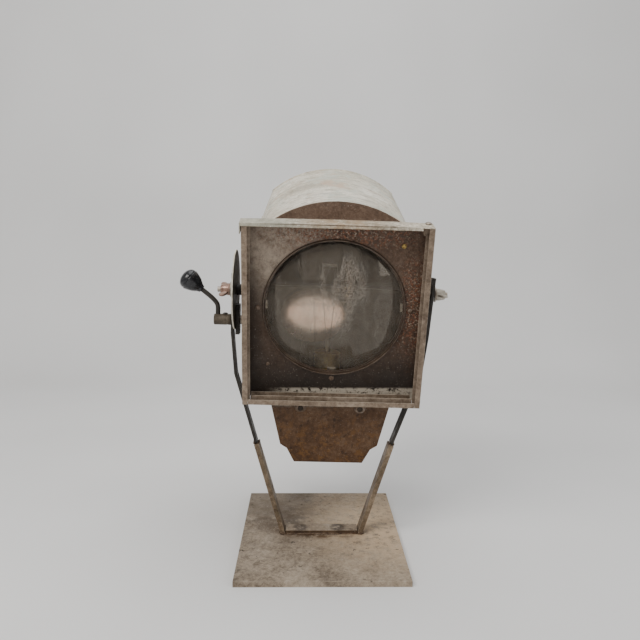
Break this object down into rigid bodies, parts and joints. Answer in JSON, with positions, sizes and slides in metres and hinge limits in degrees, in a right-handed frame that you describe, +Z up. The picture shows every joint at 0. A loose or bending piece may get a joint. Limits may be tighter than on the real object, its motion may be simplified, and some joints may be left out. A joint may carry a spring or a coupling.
{
  "type": "plano-convex theatre spotlight",
  "caption": "Old theatre spotlight with a plano-convex lens, arched hood, filter frame and clamp-locked yoke on a steel floor plate.",
  "frame": {"origin": "middle of the underside of the floor plate", "axes": "+Z up; the lamp faces -Y; +X is to the right seen from the front"},
  "size_m": [0.3854, 0.4216, 0.5553],
  "materials": {
    "plate_steel": "mottled brown-grey mill steel with rust",
    "khaki_bar": "worn khaki paint over rust",
    "black_bar": "worn black paint",
    "rusty_brown": "dark brown heat-aged paint with rust",
    "warm_grey": "worn grey-brown paint",
    "cream_paint": "aged cream enamel",
    "olive_disc": "dark olive patina",
    "pale_steel": "tarnished steel",
    "bakelite": "glossy black bakelite",
    "lens_glass": "dusty clear glass",
    "bulb_glass": "clear glass",
    "mirror": "aged silvered mirror",
    "brass": "tarnished brass",
    "ceramic": "white steatite"
  },
  "bodies": {
    "stand": {"base_plate": "plate_steel", "foot_bar": "khaki_bar", "lower_leg_left": "khaki_bar", "lower_leg_right": "khaki_bar", "yoke_arm_left": "black_bar", "yoke_arm_right": "black_bar", "pivot_washer_left": "pale_steel", "pivot_washer_right": "pale_steel", "clamp_jaw": "black_bar", "clamp_stud": "pale_steel"},
    "head": {"front_plate": "rusty_brown", "hood": "cream_paint", "side_panel_left": "rusty_brown", "side_panel_right": "rusty_brown", "floor_sheet": "rusty_brown", "rear_plate": "rusty_brown", "lens": "lens_glass", "lens_bezel": "rusty_brown", "lens_screw_left": "pale_steel", "lens_screw_right": "pale_steel", "lens_screw_bottom": "pale_steel", "lens_clip_left": "pale_steel", "lens_clip_right": "pale_steel", "lens_clip_bottom": "pale_steel", "filter_runner_left": "warm_grey", "filter_runner_right": "warm_grey", "filter_runner_bottom": "warm_grey", "flap_lug": "warm_grey", "flap_screw": "pale_steel", "pivot_bolt_left": "pale_steel", "pivot_bolt_right": "pale_steel", "disc_spacer_left": "black_bar", "disc_spacer_right": "black_bar", "tilt_disc": "olive_disc", "guide_rod_left": "pale_steel", "guide_rod_right": "pale_steel", "guide_nut_left": "pale_steel", "guide_nut_right": "pale_steel", "hinge_leaf_fixed": "pale_steel", "hinge_pin": "pale_steel", "cable_gland": "bakelite"},
    "flap": {"filter_flap": "cream_paint"},
    "lever": {"lever_boss": "khaki_bar", "lever_rod": "black_bar", "lever_knob": "bakelite"},
    "wing_left": {"wing_nut_left": "pale_steel"},
    "wing_right": {"wing_nut_right": "pale_steel"},
    "focus_drive": {"focus_spindle": "pale_steel", "focus_knob": "bakelite"},
    "carriage": {"lamp_carriage": "pale_steel", "lamp_socket": "ceramic", "bulb": "bulb_glass", "bulb_cap": "brass", "mirror": "mirror", "mirror_bracket": "pale_steel"},
    "door": {"rear_door": "rusty_brown", "hinge_leaf_door": "pale_steel"},
    "thumbscrew": {"door_thumbscrew": "brass"}
  },
  "joints": [
    {"name": "head_tilt", "type": "hinge", "parent": "stand", "child": "head", "pos_m": [0.016, 0, 0.368], "axis": [0.9998, 0, -0.0209], "range_deg": [-50, 1.5]},
    {"name": "clamp_turn", "type": "hinge", "parent": "stand", "child": "lever", "pos_m": [0.01509, 0, 0.32441], "axis": [0.9998, 0, -0.0209], "range_deg": [-15, 100]},
    {"name": "wing_left_turn", "type": "hinge", "parent": "head", "child": "wing_left", "pos_m": [-0.13227, 0, 0.37111], "axis": [-0.9998, 0, 0.0209], "range_deg": [0, 360]},
    {"name": "wing_right_turn", "type": "hinge", "parent": "head", "child": "wing_right", "pos_m": [0.16427, 0, 0.36489], "axis": [0.9998, 0, -0.0209], "range_deg": [0, 360]},
    {"name": "flap_swing", "type": "hinge", "parent": "head", "child": "flap", "pos_m": [0.13602, -0.09235, 0.46299], "axis": [0.0203, -0.2504, 0.9679], "range_deg": [0, 95]},
    {"name": "focus_turn", "type": "hinge", "parent": "head", "child": "focus_drive", "pos_m": [0.01385, 0.23416, 0.26538], "axis": [0.0052, 0.9681, 0.2503], "range_deg": [-850, 850]},
    {"name": "carriage_slide", "type": "slide", "parent": "head", "child": "carriage", "axis": [0.0052, 0.9681, 0.2503], "range_m": [-0.0445, 0.0445]},
    {"name": "door_swing", "type": "hinge", "parent": "head", "child": "door", "pos_m": [-0.07591, 0.19847, 0.42126], "axis": [0.0203, -0.2504, 0.9679], "range_deg": [0, 110]},
    {"name": "thumbscrew_turn", "type": "hinge", "parent": "door", "child": "thumbscrew", "pos_m": [0.10109, 0.19613, 0.41902], "axis": [0.0052, 0.9681, 0.2503], "range_deg": [0, 360]}
  ],
  "couplings": [
    {"joint": "focus_turn", "follows": "carriage_slide", "rad_per_m": 333.33}
  ]
}
